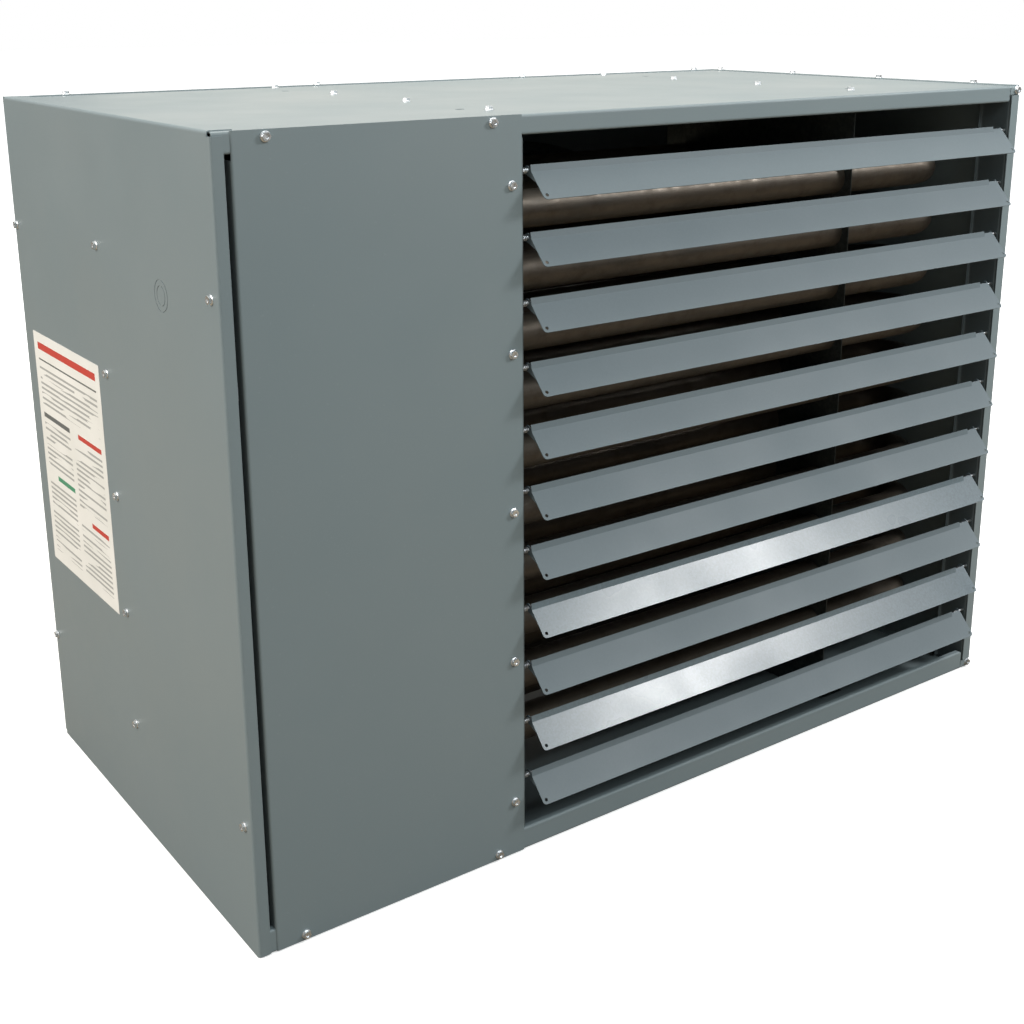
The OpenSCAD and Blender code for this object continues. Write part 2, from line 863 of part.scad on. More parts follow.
module louver_pins() {
  left_seat = partition_x;
  right_seat = rail_x + sheet_t;
  color(zinc) in_cabinet() for (p = louver_places()) {
    translate([left_seat - pin_head_t, p[0], p[1]]) rotate([0, 90, 0])
      headed_pin(blade_left + pin_into_blade - left_seat);
    translate([right_seat + pin_head_t, p[0], p[1]]) rotate([0, -90, 0])
      headed_pin(right_seat - blade_right + pin_into_blade);
  }
}
module headed_pin(reach) {
  cylinder(r = pin_head_r, h = pin_head_t, $fn = fine_fn);
  cylinder(r = pin_r, h = pin_head_t + reach, $fn = fine_fn);
}

module louver_springs() {
  from = air_x + sheet_t + spring_wire_r + spring_gap;
  color(zinc) in_cabinet() for (p = louver_places()) translate([from, p[0], p[1]]) coil(spring_len);
}
// A coil along X as one closed wire, its rings turned to follow the helix
module coil(length) {
  steps = spring_turns * spring_rings;
  slope = atan(length / (spring_turns * 2 * PI * spring_r));
  wire([for (i = [0:steps])
    let(a = 360 * i / spring_rings, out = [0, cos(a), sin(a)], round = [0, -sin(a), cos(a)])
    [[length * i / steps, 0, 0] + out * spring_r, out, [cos(slope), 0, 0] - sin(slope) * round]
  ], spring_wire_r, spring_sides);
}
// The least gap of a coil to itself, measured between the wire's middle points over half a turn apart
function coil_gap(length) =
  let(steps = spring_turns * spring_rings,
    at = [for (i = [0:steps]) let(a = 360 * i / spring_rings)
      [length * i / steps, spring_r * cos(a), spring_r * sin(a)]])
  min([for (i = [0:steps], j = [0:steps]) if (j > i + spring_rings / 2) norm(at[j] - at[i])]) - 2 * spring_wire_r;
spring_len = blade_left - air_x - sheet_t - 2 * (spring_wire_r + spring_gap);
echo(least_gap_of_a_spring_to_itself_mm = coil_gap(spring_len));

// A closed wire through rings, each given as its middle and the two directions it is drawn in
module wire(rings, r, sides) {
  points = [for (g = rings, k = [0:sides - 1])
    g[0] + r * (cos(360 * k / sides) * g[1] + sin(360 * k / sides) * g[2])];
  last = (len(rings) - 1) * sides;
  walls = [for (i = [0:len(rings) - 2], k = [0:sides - 1])
    let(a = i * sides + k, b = i * sides + (k + 1) % sides)
    each [[a, b + sides, b], [a, a + sides, b + sides]]];
  ends = [for (k = [1:sides - 2]) each [[0, k, k + 1], [last, last + k + 1, last + k]]];
  polyhedron(points = points, faces = concat(walls, ends));
}

module side_label() {
  color(label_white) in_cabinet()
    block([-label_t, label_y, label_z], [0, label_y + label_w, label_z + label_h]);
}

// Louvre blades, drawn flat with the bend line along X at zero, then tilted about it

module louver_blade(number) {
  place = louver_places()[louver_count - number];
  color(blade_paint) in_cabinet() translate([0, place[0] - bend_back, place[1] - bend_drop])
    rotate([blade_tilt, 0, 0]) {
      intersection() {
        union() {
          along_x(blade_left, blade_right - lip_stop) bent_sheet([
            blade_lip * [cos(lip_angle - blade_tilt), sin(lip_angle - blade_tilt)], [0, 0], [-blade_chord, 0]
          ], blade_t, 2 * blade_t);
          along_x(blade_right - lip_stop, blade_right)
            translate([-blade_chord, -blade_t]) square([blade_chord + tab_rise, blade_t]);
        }
        translate([0, 0, -blade_lip]) linear_extrude(height = 2 * blade_lip) blade_outline();
      }
      for (x = [blade_left, blade_right - blade_t]) along_x(x, x + blade_t) blade_ear();
    }
}
// The blade seen square to its face, with rounded lower corners and a hole in each
module blade_outline() {
  r = blade_corner_r;
  low = -blade_chord;
  difference() {
    union() {
      translate([blade_left, low + r]) square([blade_right - blade_left, blade_chord]);
      translate([blade_left + r, low]) square([blade_right - blade_left - 2 * r, blade_chord]);
      for (x = [blade_left + r, blade_right - r]) translate([x, low + r]) circle(r = r, $fn = fine_fn);
      translate([blade_left, -r]) square([blade_right - blade_left, r + 2 * blade_lip]);
    }
    for (x = [blade_left + blade_hole_in, blade_right - blade_hole_in])
      translate([x, low + blade_hole_in]) circle(r = blade_hole_r, $fn = fine_fn);
  }
}
blade_pivot = [
  bend_back * cos(blade_tilt) + bend_drop * sin(blade_tilt),
  bend_drop * cos(blade_tilt) - bend_back * sin(blade_tilt)
];
module blade_ear() {
  difference() {
    union() {
      translate(blade_pivot) circle(r = ear_r, $fn = fine_fn);
      polygon([
        [-ear_reach, 0], [blade_pivot[0], 0], blade_pivot,
        blade_pivot - ear_r * [0.4, 0.8]
      ]);
    }
    translate(blade_pivot) circle(r = pin_r + run_fit, $fn = fine_fn);
    // The ear ends inside the thickness of the face
    translate([-2 * blade_chord, -blade_t / 2]) square([4 * blade_chord, blade_chord]);
  }
}

// Heat exchanger

module heat_exchanger_tubes() {
  left = partition_x - tube_stub;
  ys = [for (i = [0:pass_count - 1]) pass_first_y + i * pass_pitch];
  color(hot_steel) in_cabinet() for (z = tube_zs()) translate([0, 0, z]) {
    serpentine(ys, left);
  }
}
module serpentine(ys, left) {
  for (i = [0:pass_count - 1]) {
    from = i == 0 || i == pass_count - 1 ? left : return_left_x;
    translate([from, ys[i], 0]) rotate([90, 0, 90])
      linear_extrude(height = return_right_x - from) ring_section(tube_r, tube_wall);
  }
  for (i = [0:pass_count - 2]) {
    right = i % 2 == 0;
    translate([right ? return_right_x : return_left_x, (ys[i] + ys[i + 1]) / 2, 0])
      rotate([0, 0, right ? -90 : 90]) rotate_extrude(angle = 180, $fn = round_fn)
        translate([pass_pitch / 2, 0]) ring_section(tube_r, tube_wall);
  }
}

module tube_support() {
  color(galvanised) in_cabinet() difference() {
    union() {
      along_y(support_front_y, support_rear_y) bent_sheet([
        [support_x + support_flange, plate_top - sheet_t], [support_x, plate_top - sheet_t],
        [support_x, sheet_t], [support_x + support_flange, sheet_t]
      ]);
      along_y(top_ys[0] - screw_edge, rear_face - bend_r) bent_sheet([
        [support_x + support_flange, plate_top - sheet_t], [support_x, plate_top - sheet_t],
        [support_x, plate_top - sheet_t - hanger_rail_drop]
      ]);
    }
    for (i = [0:pass_count - 1]) on_right([for (z = tube_zs()) [pass_first_y + i * pass_pitch, z]], support_x)
      cylinder(r = tube_r + sheet_fit, h = 2 * screw_reach, center = true, $fn = round_fn);
    on_top(top_plate_places) screw_hole();
    on_top(hanger_places) hanger_hole();
  }
}

module flue_collector() {
  front = pass_last_y - collector_d / 2;
  back = pass_last_y + collector_d / 2;
  color(galvanised) in_cabinet() difference() {
    union() {
      block([collector_left_x, front, collector_base_z], [partition_x, back, collector_top_z]);
      block([partition_x - sheet_t, front - collector_lip, collector_base_z - collector_lip],
        [partition_x, back + collector_lip, collector_top_z + collector_lip]);
    }
    block([collector_left_x + sheet_t, front + sheet_t, collector_base_z + sheet_t],
      [partition_x + cut_over, back - sheet_t, collector_top_z - sheet_t]);
    on_left([[pass_last_y, inducer_z]], collector_left_x)
      cylinder(r = inlet_r, h = 2 * screw_reach, center = true, $fn = round_fn);
  }
}

// Burners and gas train

module burners() {
  l = burner_len;
  outer = [[0, burner_inlet_r], [l * 0.1, burner_inlet_r], [l * 0.28, burner_throat_r],
    [l * 0.42, burner_throat_r], [l * 0.62, burner_body_r], [l * 0.86, burner_body_r],
    [l * 0.9, burner_head_r], [l, burner_head_r]];
  inner = [for (p = reversed(outer)) [p[0], p[1] - burner_wall]];
  color(galvanised) in_cabinet() for (z = tube_zs())
    translate([burner_left_x, pass_first_y, z]) rotate([0, 90, 0]) rotate_extrude($fn = round_fn)
      polygon([for (p = concat(outer, inner)) [p[1], p[0]]]);
}

module burner_bracket() {
  near = pass_first_y - bracket_half;
  far = pass_first_y + bracket_half;
  lip_x = partition_x - sheet_t;
  color(galvanised) in_cabinet() difference() {
    along_z(tube_first_z - bracket_over, tube_zs()[tube_count - 1] + bracket_over) bent_sheet([
      [lip_x, far + bracket_lip], [lip_x, far], [burner_hold_x, far],
      [burner_hold_x, near], [lip_x, near], [lip_x, near - bracket_lip]
    ]);
    on_left([for (z = tube_zs()) [pass_first_y, z]], burner_hold_x)
      cylinder(r = burner_body_r + fixed_fit, h = 2 * screw_reach, center = true, $fn = round_fn);
    for (z = [tube_zs()[0], tube_zs()[tube_count - 1]])
      on_left([[pass_first_y + rod_in_y, z]], burner_hold_x)
        cylinder(r = ceramic_r + fixed_fit, h = 2 * screw_reach, center = true, $fn = fine_fn);
    on_front([[rollout_x, rollout_z]], near)
      cylinder(r = limit_probe_r + fixed_fit, h = 2 * screw_reach, center = true, $fn = fine_fn);
  }
}

module gas_manifold() {
  base = valve_top_z + valve_boss_len;
  top = tube_zs()[tube_count - 1] + manifold_over;
  color(pipe_black) in_cabinet() translate([manifold_x, pass_first_y, 0]) difference() {
    union() {
      translate([0, 0, base]) cylinder(d = gas_pipe_d, h = top - base, $fn = round_fn);
      for (z = tube_zs()) translate([0, 0, z]) rotate([0, 90, 0])
        cylinder(r = boss_r, h = gas_pipe_d / 2 + boss_len, $fn = fine_fn);
      translate([0, 0, top]) cylinder(d = gas_pipe_d, h = boss_r, $fn = 6);
    }
    translate([0, 0, base - cut_over])
      cylinder(r = manifold_bore_r, h = top - base, $fn = round_fn);
    for (z = tube_zs()) translate([0, 0, z]) rotate([0, 90, 0])
      cylinder(r = orifice_tip_r, h = gas_pipe_d, $fn = fine_fn);
  }
}

module manifold_bracket() {
  half = manifold_arm_w / 2;
  color(galvanised) in_cabinet() difference() {
    for (share = manifold_arm_shares) {
      z = tube_first_z + share * (tube_top_z - tube_first_z);
      along_y(pass_first_y - half, pass_first_y + half) bent_sheet([
        [manifold_x - half, z], [burner_hold_x, z], [burner_hold_x, z + manifold_arm_foot]
      ]);
    }
    translate([manifold_x, pass_first_y, 0])
      cylinder(r = gas_pipe_d / 2 + fixed_fit, h = cabinet_h, $fn = round_fn);
  }
}

module burner_orifices() {
  seat = manifold_x + gas_pipe_d / 2 + boss_len;
  color(brass_yellow) in_cabinet() for (z = tube_zs())
    translate([seat, pass_first_y, z]) rotate([0, 90, 0]) difference() {
      union() {
        cylinder(r = orifice_hex_r, h = orifice_hex_len, $fn = 6);
        translate([0, 0, orifice_hex_len])
          cylinder(r1 = orifice_hex_r * 0.8, r2 = orifice_tip_r, h = orifice_len - orifice_hex_len, $fn = fine_fn);
      }
      translate([0, 0, -cut_over]) cylinder(r = orifice_bore_r, h = orifice_len + 2 * cut_over, $fn = fine_fn);
    }
}

module gas_valve() {
  back = valve_front_y + valve_d;
  chamfer = valve_tower_r / 2;
  color(cast_aluminium) in_cabinet() difference() {
    union() {
      along_y(valve_front_y, back) translate([manifold_x - valve_w / 2, valve_base_z]) polygon([
        [chamfer, 0], [valve_w - chamfer, 0], [valve_w, chamfer], [valve_w, valve_h - chamfer],
        [valve_w - chamfer, valve_h], [chamfer, valve_h], [0, valve_h - chamfer], [0, chamfer]
      ]);
      translate([manifold_x, pass_first_y, valve_top_z]) cylinder(r = valve_boss_r, h = valve_boss_len, $fn = round_fn);
      translate([manifold_x, back, valve_z]) rotate([-90, 0, 0])
        cylinder(r = valve_boss_r, h = valve_boss_len, $fn = round_fn);
      translate([manifold_x - valve_w / 2 + valve_head_r, valve_front_y + valve_head_r, valve_top_z])
        cylinder(r = valve_tower_r, h = valve_tower_h, $fn = fine_fn);
      translate([manifold_x - valve_w / 2, back - valve_head_r - chamfer, valve_z]) rotate([0, -90, 0])
        cylinder(r = valve_head_r, h = valve_head_h, $fn = round_fn);
    }
    translate([manifold_x, valve_front_y, valve_z]) rotate([-90, 0, 0]) translate([0, 0, -cut_over])
      cylinder(r = knob_stem_r + run_fit, h = knob_stem + knob_gap + cut_over, $fn = fine_fn);
  }
}

module gas_valve_knob() {
  color(plastic_red) in_cabinet() translate([manifold_x, valve_front_y, valve_z]) rotate([90, 0, 0]) {
    translate([0, 0, -knob_stem]) cylinder(r = knob_stem_r, h = knob_stem + 2 * knob_gap, $fn = fine_fn);
    translate([0, 0, knob_gap]) rotate_extrude($fn = round_fn) polygon([
      [0, 0], [knob_r, 0], [knob_r, knob_h / 2], [knob_r * 0.85, knob_h], [0, knob_h]
    ]);
    translate([-knob_rib_w / 2, -knob_r * 0.8, knob_h / 2])
      cube([knob_rib_w, knob_r * 1.6, knob_h / 2 + knob_gap + knob_rib_h]);
  }
}

module gas_supply_pipe() {
  from = valve_front_y + valve_d + valve_boss_len;
  color(pipe_black) in_cabinet() translate([manifold_x, 0, valve_z]) {
    translate([0, from, 0]) rotate([-90, 0, 0]) pipe(gas_pipe_d / 2, pipe_wall, cabinet_d + pipe_out - from);
    translate([0, union_y, 0]) rotate([-90, 0, 0]) difference() {
      union() {
        cylinder(r = union_r, h = union_len / 2, $fn = 8);
        cylinder(r = union_r - pipe_wall, h = union_len, $fn = round_fn);
      }
      translate([0, 0, -cut_over]) cylinder(d = gas_pipe_d - pipe_wall, h = union_len + 2 * cut_over, $fn = round_fn);
    }
  }
}

// A ceramic-sheathed rod held by a clip on the burner bracket
module sensing_rod(z, side) {
  y = pass_first_y + rod_in_y;
  color(ceramic_white) in_cabinet() translate([burner_hold_x, y, z]) rotate([0, 90, 0]) {
    translate([0, 0, -ceramic_len]) cylinder(r = ceramic_r, h = 2 * ceramic_len, $fn = fine_fn);
    translate([0, 0, -ceramic_len - side]) cylinder(r = rod_r, h = rod_len + side, $fn = fine_fn);
    translate([-rod_clip_w / 2, -rod_clip_w / 2, -rod_clip_t]) cube([rod_clip_w, rod_clip_w, rod_clip_t]);
  }
}
module igniter() sensing_rod(tube_zs()[0], ceramic_r);
module flame_sensor() sensing_rod(tube_zs()[tube_count - 1], ceramic_r);

// Controls

module ignition_board() {
  face = partition_x - board_post_h;
  color(board_green) in_cabinet() translate([0, board_y, board_z]) {
    block([face - board_t, 0, 0], [face, board_w, board_h]);
    for (y = [2 * board_post_r, board_w - 2 * board_post_r], z = [2 * board_post_r, board_h - 2 * board_post_r])
      translate([face, y, z]) rotate([0, 90, 0]) cylinder(r = board_post_r, h = board_post_h, $fn = fine_fn);
    for (i = [0:2]) translate([face - board_t - relay_size[0], relay_size[1] * (1 + i * 1.5), board_h * 0.6])
      cube([relay_size[0], relay_size[1], relay_size[2]]);
    block([face - board_t - terminal_h, board_w * 0.15, board_h * 0.08], [face - board_t, board_w * 0.85, board_h * 0.2]);
    block([face - board_t - chip_h, board_w * 0.6, board_h * 0.35], [face - board_t, board_w * 0.8, board_h * 0.5]);
  }
}

module transformer() {
  color(dark_steel) in_cabinet() translate([partition_x, transformer_y, transformer_z]) {
    block([-core_h, 0, 0], [0, core_t, core_w]);
    block([coil_edge - core_h, -coil_over, coil_edge], [-coil_edge, core_t + coil_over, core_w - coil_edge]);
    block([-foot_t, 0, -transformer_foot], [0, core_t, core_w + transformer_foot]);
  }
}

module junction_box() {
  color(galvanised) in_cabinet() translate([sheet_t, knockout_y - box_d / 2, knockout_z - box_h / 2]) {
    difference() {
      cube([box_w, box_d, box_h]);
      translate([sheet_t, sheet_t, sheet_t])
        cube([box_w - 2 * sheet_t, box_d - 2 * sheet_t, box_h - 2 * sheet_t]);
    }
    translate([box_w, -box_lip, -box_lip]) cube([box_lip_t, box_d + 2 * box_lip, box_h + 2 * box_lip]);
  }
}

module pressure_switch() {
  color(plastic_black) in_cabinet() translate([partition_x, pressure_y, pressure_z]) rotate([0, -90, 0]) {
    translate([-switch_r, -switch_hub_r, 0]) cube([2 * switch_r, 2 * switch_hub_r, foot_t]);
    cylinder(r = switch_r, h = switch_t, $fn = round_fn);
    cylinder(r = switch_hub_r, h = switch_t + switch_hub_t, $fn = round_fn);
    translate([-switch_r * 0.6, 0, 0]) cylinder(r = port_r, h = switch_t + port_len, $fn = fine_fn);
    translate([0, switch_hub_r - blade_tab_w, switch_t + switch_hub_t])
      cube([blade_tab_t, blade_tab_w, blade_tab_h]);
  }
}

// A small round thermostat on its plate: the sensing face passes through the sheet
module disc_thermostat() {
  translate([-limit_w / 2, -limit_h / 2, 0]) cube([limit_w, limit_h, foot_t]);
  translate([0, 0, -limit_probe_len + foot_t]) cylinder(r = limit_probe_r, h = limit_probe_len, $fn = fine_fn);
  cylinder(r = limit_r, h = limit_body_h, $fn = fine_fn);
  for (x = [-limit_r * 0.7, limit_r * 0.7]) translate([x - blade_tab_t / 2, -blade_tab_w / 2, 0])
    cube([blade_tab_t, blade_tab_w, limit_body_h + blade_tab_h]);
}
module limit_switch() {
  color(plastic_black) in_cabinet() on_left([[limit_y, limit_z]], partition_x) disc_thermostat();
}
module rollout_switch() {
  color(plastic_black) in_cabinet() on_front([[rollout_x, rollout_z]], pass_first_y - bracket_half) difference() {
    disc_thermostat();
    translate([0, 0, limit_body_h - button_len + button_cap_h])
      cylinder(r = button_r + run_fit, h = button_len + cut_over, $fn = fine_fn);
  }
}
module rollout_reset_button() {
  stem = button_len - button_cap_h - button_travel;
  color(plastic_red) in_cabinet() on_front([[rollout_x, rollout_z]], pass_first_y - bracket_half)
    translate([0, 0, limit_body_h + button_travel + run_fit]) {
      translate([0, 0, -stem]) cylinder(r = button_r, h = stem + button_cap_h / 2, $fn = fine_fn);
      cylinder(r = button_cap_r, h = button_cap_h, $fn = fine_fn);
    }
}

// Inducer, drawn looking along its shaft: X of the outline is Y of the cabinet

function scroll_points(grow) = [
  for (i = [0:scroll_steps])
    let(a = 90 - 360 * i / scroll_steps, r = scroll_r0 + grow + scroll_growth * (1 - i / scroll_steps))
    r * [cos(a), sin(a)]
];
module scroll_outline(grow) {
  top = scroll_r0 + scroll_growth;
  polygon(scroll_points(grow));
  translate([0, top - outlet_h - grow]) square([outlet_reach, outlet_h + 2 * grow]);
}
module inducer_housing() {
  color(dark_steel) in_cabinet() translate([0, pass_last_y, inducer_z]) difference() {
    union() {
      along_x(inducer_left_x, inducer_right_x) scroll_outline(0);
      along_x(inducer_left_x, inducer_left_x + inducer_wall) scroll_outline(inducer_wall);
    }
    difference() {
      along_x(inducer_left_x + inducer_wall, inducer_right_x - inducer_wall) union() {
        scroll_outline(-inducer_wall);
        translate([0, scroll_r0 + scroll_growth - outlet_h + inducer_wall])
          square([outlet_reach + cut_over, outlet_h - 2 * inducer_wall]);
      }
    }
    on_left([[0, 0]], inducer_right_x) cylinder(r = inlet_r, h = screw_reach, center = true, $fn = round_fn);
    on_left([[0, 0]], inducer_left_x)
      cylinder(r = inducer_boss_r + seam, h = screw_reach, center = true, $fn = round_fn);
  }
}

module inducer_motor() {
  color(plastic_black) in_cabinet() translate([inducer_left_x, pass_last_y, inducer_z]) rotate([0, -90, 0]) difference() {
    union() {
      cylinder(r = inducer_motor_r * 1.3, h = inducer_plate_t, $fn = round_fn);
      cylinder(r = inducer_motor_r, h = inducer_motor_len, $fn = round_fn);
      cylinder(r = inducer_motor_r * 0.6, h = inducer_motor_len + inducer_boss_r, $fn = round_fn);
      translate([0, 0, -inducer_wall]) cylinder(r = inducer_boss_r, h = inducer_boss_r, $fn = round_fn);
    }
    translate([0, 0, -inducer_boss_r])
      cylinder(r = inducer_shaft_r + run_fit, h = inducer_motor_len + inducer_boss_r / 2, $fn = fine_fn);
  }
}

module inducer_wheel() {
  back = inducer_wall + wheel_gap;
  color(galvanised) in_cabinet() translate([inducer_left_x, pass_last_y, inducer_z]) rotate([0, 90, 0]) {
    translate([0, 0, inducer_boss_r - inducer_motor_len]) cylinder(r = inducer_shaft_r, h = inducer_motor_len + back, $fn = fine_fn);
    translate([0, 0, back]) cylinder(r = wheel_r, h = wheel_plate_t, $fn = round_fn);
    translate([0, 0, back]) cylinder(r = wheel_hub_r, h = wheel_w / 3, $fn = round_fn);
    translate([0, 0, back + wheel_w - wheel_plate_t]) pipe(wheel_r, wheel_ring_w, wheel_plate_t);
    for (i = [0:wheel_vanes - 1]) rotate([0, 0, 360 * i / wheel_vanes])
      translate([wheel_r - wheel_ring_w, 0, back]) rotate([0, 0, 30])
        cube([wheel_ring_w * 0.9, wheel_vane_t, wheel_w]);
  }
}

// The duct from the inducer slides into the collar, which stands on the rear panel
module vent_collar() {
  length = cabinet_d + collar_out - outlet_y;
  half = collar_d / 2;
  duct_r = half - collar_wall;
  color(galvanised) in_cabinet() translate([inducer_mid_x(), outlet_y, outlet_z]) rotate([-90, 0, 0]) difference() {
    union() {
      cylinder(r = duct_r, h = length, $fn = round_fn);
      translate([0, 0, length - collar_out]) {
        cylinder(r = half, h = collar_out, $fn = round_fn);
        cylinder(r = half + collar_lip, h = collar_wall, $fn = round_fn);
      }
    }
    translate([0, 0, vent_plate]) cylinder(r = duct_r - collar_wall, h = length, $fn = round_fn);
    translate([0, 0, -cut_over]) intersection() {
      cylinder(r = half - collar_lip, h = vent_plate + 2 * cut_over, $fn = round_fn);
      cube([inducer_w - 2 * inducer_wall, outlet_h - 2 * inducer_wall, 4 * vent_plate], center = true);
    }
  }
}

module air_intake_collar() {
  half = collar_d / 2;
  color(galvanised) in_cabinet() translate([intake_x, cabinet_d, intake_z]) rotate([-90, 0, 0]) difference() {
    union() {
      cylinder(r = half, h = collar_out, $fn = round_fn);
      cylinder(r = half + collar_lip, h = collar_wall, $fn = round_fn);
    }
    translate([0, 0, -cut_over]) cylinder(r = half - collar_wall, h = collar_out + 2 * cut_over, $fn = round_fn);
  }
}

// Fan

module venturi_ring() {
  back = rear_face;
  color(galvanised) in_cabinet() translate([fan_x, back, fan_z]) rotate([90, 0, 0])
    rotate_extrude($fn = round_fn) bent_sheet([
      [venturi_r, venturi_len], [venturi_r, 0], [venturi_r + venturi_lip, 0]
    ], sheet_t, venturi_bend);
}

module fan_blade() {
  color(cast_aluminium) in_cabinet() translate([fan_x, fan_y, fan_z]) rotate([-90, 0, 0]) difference() {
    union() {
      translate([0, 0, -fan_hub_len / 2]) cylinder(r = fan_hub_r, h = fan_hub_len, $fn = round_fn);
      for (i = [0:fan_blade_count - 1]) rotate([0, 0, 360 * i / fan_blade_count + 45]) {
        fan_wing();
        rotate([fan_pitch, 0, 0]) translate([0, -fan_arm_w / 2, -fan_blade_t - fan_arm_t])
          cube([fan_r * 0.42, fan_arm_w, fan_arm_t]);
      }
    }
    cylinder(r = shaft_r, h = 2 * fan_hub_len, center = true, $fn = fine_fn);
  }
}
// One wing: a cambered, pitched sheet cut to the blade's outline
module fan_wing() {
  root = fan_r * fan_root_share;
  intersection() {
    rotate([fan_pitch, 0, 0]) translate([0, 0, -fan_camber_r]) rotate([0, 90, 0])
      pipe(fan_camber_r, fan_blade_t, fan_r + cut_over);
    translate([0, 0, -fan_tip_half]) linear_extrude(height = 2 * fan_tip_half) intersection() {
      circle(r = fan_r, $fn = 2 * round_fn);
      polygon([
        [root, -fan_root_half * 0.7], [fan_r * 0.55, -fan_tip_half * 0.95], [fan_r * 0.85, -fan_tip_half],
        [fan_r, -fan_tip_half * 0.9], [fan_r, fan_tip_half * 0.55], [fan_r * 0.8, fan_tip_half * 0.8],
        [fan_r * 0.5, fan_tip_half * 0.66], [root, fan_root_half * 0.6]
      ]);
    }
  }
}

module fan_shaft() {
  from = fan_y - fan_hub_len / 2 - shaft_in;
  to = cabinet_d + motor_reach + strap_t + motor_len - motor_step;
  color(zinc) in_cabinet() translate([fan_x, from, fan_z]) rotate([-90, 0, 0])
    cylinder(r = shaft_r, h = to - from, $fn = fine_fn);
}

module fan_motor() {
  color(dark_steel) in_cabinet() translate([fan_x, cabinet_d + motor_reach + strap_t, fan_z]) rotate([-90, 0, 0]) difference() {
    union() {
      rotate_extrude($fn = round_fn) polygon([
        [0, -motor_boss_len], [motor_boss_r, -motor_boss_len], [motor_boss_r, 0], [motor_r, 0],
        [motor_r, motor_len - motor_step], [motor_r - motor_step, motor_len], [0, motor_len]
      ]);
      for (i = [0:motor_fins - 1]) rotate([0, 0, 360 * i / motor_fins])
        translate([motor_r - motor_fin_h, -motor_fin_w / 2, motor_step])
          cube([2 * motor_fin_h, motor_fin_w, motor_len - 3 * motor_step]);
    }
    translate([0, 0, -motor_boss_len - cut_over])
      cylinder(r = shaft_r + run_fit, h = motor_boss_len + cut_over + motor_len - motor_step + shaft_in / 2, $fn = fine_fn);
  }
}

module motor_bracket() {
  foot = strap_half + strap_foot;
  reach = cabinet_d + motor_reach;
  color(dark_steel) in_cabinet() difference() {
    for (side = [-1, 1]) translate([fan_x, 0, 0])
      along_z(fan_z + side * strap_rise - strap_w / 2, fan_z + side * strap_rise + strap_w / 2)
        bent_sheet([
          [-foot, cabinet_d], [-strap_half, cabinet_d], [-strap_half, reach],
          [strap_half, reach], [strap_half, cabinet_d], [foot, cabinet_d]
        ], strap_t, 2 * strap_t);
    on_rear([[fan_x, fan_z]], reach)
      cylinder(r = motor_boss_r + seam, h = 2 * screw_reach, center = true, $fn = round_fn);
  }
}

module fan_guard() {
  flat_z = guard_depth;
  low_z = 3 * wire_r + 2 * wire_touch;
  slant = unit([guard_out_r - guard_flat_r, low_z - flat_z]);
  color(dark_steel) in_cabinet() translate([fan_x, cabinet_d, fan_z]) rotate([-90, 0, 0]) {
    for (i = [0:guard_spokes - 1]) rotate([0, 0, 360 * (i + 0.5) / guard_spokes])
      guard_spoke(flat_z, low_z);
    for (i = [0:guard_rings - 1])
      guard_ring(guard_in_r + wire_r + (guard_flat_r - guard_in_r) * 0.94 * i / (guard_rings - 1),
        flat_z - 2 * wire_r - wire_touch);
    guard_ring((guard_flat_r + guard_out_r) / 2 + slant[1] * (2 * wire_r + wire_touch),
      (flat_z + low_z) / 2 - slant[0] * (2 * wire_r + wire_touch));
    guard_ring(guard_out_r, wire_r + wire_touch);
  }
}
// Two straight wires mitred where the guard turns down to its rim
module guard_spoke(flat_z, low_z) {
  slope = atan2(low_z - flat_z, guard_out_r - guard_flat_r);
  over = 4 * wire_r;
  difference() {
    translate([guard_in_r, 0, flat_z]) rotate([0, 90, 0])
      cylinder(r = wire_r, h = guard_flat_r - guard_in_r + over, $fn = fine_fn);
    translate([guard_flat_r, 0, flat_z]) rotate([0, -slope / 2, 0]) translate([0, -over, -over])
      cube([2 * over, 2 * over, 2 * over]);
  }
  difference() {
    translate([guard_flat_r, 0, flat_z]) rotate([0, 90 - slope, 0]) translate([0, 0, -over])
      cylinder(r = wire_r, h = norm([guard_out_r - guard_flat_r, low_z - flat_z]) + over, $fn = fine_fn);
    translate([guard_flat_r, 0, flat_z]) rotate([0, -slope / 2, 0]) translate([-2 * over, -over, -over])
      cube([2 * over, 2 * over, 2 * over]);
  }
}
module guard_ring(r, z) {
  translate([0, 0, z]) rotate_extrude($fn = round_fn) translate([r, 0]) rotate(180 / wire_sides)
    circle(r = wire_r, $fn = wire_sides);
}

module cabinet_screws() {
  color(zinc) in_cabinet() {
    on_front(door_places) hex_screw();
    on_front(post_places, sheet_t) hex_screw();
    on_left(left_places) hex_screw();
    on_right(right_places) hex_screw();
    on_top(top_flange_places) hex_screw();
    on_top(top_plate_places, plate_top) hex_screw();
    on_rear(rear_places) hex_screw();
  }
}

left_side_panel();
right_side_panel();
top_panel();
bottom_panel();
rear_panel();
rear_service_panel();
access_panel();
partition_panel();
corner_angle();
side_stiffener();
hanger_rail();
hanger_nuts();
louver_rail_left();
louver_rail_right();
louver_pins();
louver_springs();
side_label();
heat_exchanger_tubes();
tube_support();
flue_collector();
burners();
burner_bracket();
gas_manifold();
manifold_bracket();
burner_orifices();
gas_valve();
gas_valve_knob();
gas_supply_pipe();
igniter();
flame_sensor();
ignition_board();
transformer();
junction_box();
pressure_switch();
limit_switch();
rollout_switch();
rollout_reset_button();
inducer_housing();
inducer_motor();
inducer_wheel();
vent_collar();
air_intake_collar();
venturi_ring();
fan_motor();
fan_shaft();
fan_blade();
motor_bracket();
fan_guard();
cabinet_screws();
for (i = [1:louver_count])
  louver_blade(i);
